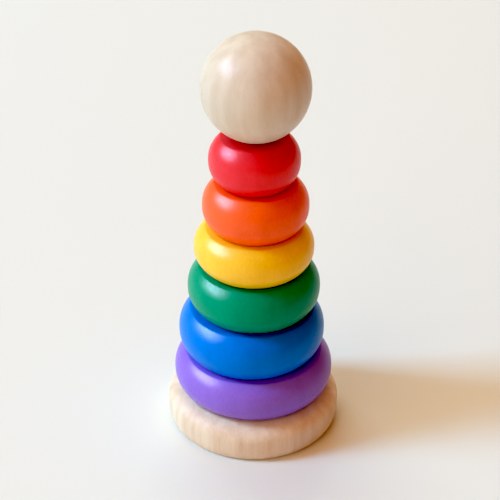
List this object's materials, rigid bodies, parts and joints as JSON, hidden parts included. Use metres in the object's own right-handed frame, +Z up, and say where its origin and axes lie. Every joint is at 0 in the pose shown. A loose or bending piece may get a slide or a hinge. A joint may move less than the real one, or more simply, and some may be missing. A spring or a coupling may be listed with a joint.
{
  "type": "ring stacker",
  "caption": "Wooden ring stacking tower: graded, barrel-sided rings in rainbow colours and a natural ball slide onto a peg that stands in a round natural base",
  "frame": {"origin": "Centre of the base's flat underside, on the peg's axis, where the stacker stands on a table.", "axes": "+Z runs up the peg, the axis about which every piece is turned and along which every loose piece lifts off. +X and +Y lie in the plane of the underside, and the object is the same in every direction about +Z."},
  "size_m": [0.0844, 0.0844, 0.2034],
  "materials": {
    "base": "satin beech, clear oil",
    "peg": "smooth beech dowel, clear oil",
    "ring_purple": "purple stain paint on beech, satin, some grain showing",
    "ring_blue": "blue stain paint on beech, satin, some grain showing",
    "ring_green": "green stain paint on beech, satin, some grain showing",
    "ring_yellow": "yellow stain paint on beech, satin, some grain showing",
    "ring_orange": "orange stain paint on beech, satin, some grain showing",
    "ring_red": "red stain paint on beech, satin, some grain showing",
    "ball": "polished natural beech, clear oil"
  },
  "bodies": {
    "base": {"base": "base", "peg": "peg"},
    "ring_purple": {"ring_purple": "ring_purple"},
    "ring_blue": {"ring_blue": "ring_blue"},
    "ring_green": {"ring_green": "ring_green"},
    "ring_yellow": {"ring_yellow": "ring_yellow"},
    "ring_orange": {"ring_orange": "ring_orange"},
    "ring_red": {"ring_red": "ring_red"},
    "ball": {"ball": "ball"}
  },
  "joints": [
    {"name": "ring_purple_lift", "type": "slide", "parent": "base", "child": "ring_purple", "axis": [0, 0, 1], "range_m": [0, 0.155]},
    {"name": "ring_blue_lift", "type": "slide", "parent": "ring_purple", "child": "ring_blue", "axis": [0, 0, 1], "range_m": [0, 0.134]},
    {"name": "ring_green_lift", "type": "slide", "parent": "ring_blue", "child": "ring_green", "axis": [0, 0, 1], "range_m": [0, 0.11]},
    {"name": "ring_yellow_lift", "type": "slide", "parent": "ring_green", "child": "ring_yellow", "axis": [0, 0, 1], "range_m": [0, 0.087]},
    {"name": "ring_orange_lift", "type": "slide", "parent": "ring_yellow", "child": "ring_orange", "axis": [0, 0, 1], "range_m": [0, 0.066]},
    {"name": "ring_red_lift", "type": "slide", "parent": "ring_orange", "child": "ring_red", "axis": [0, 0, 1], "range_m": [0, 0.043]},
    {"name": "ball_lift", "type": "slide", "parent": "ring_red", "child": "ball", "axis": [0, 0, 1], "range_m": [0, 0.02]}
  ]
}
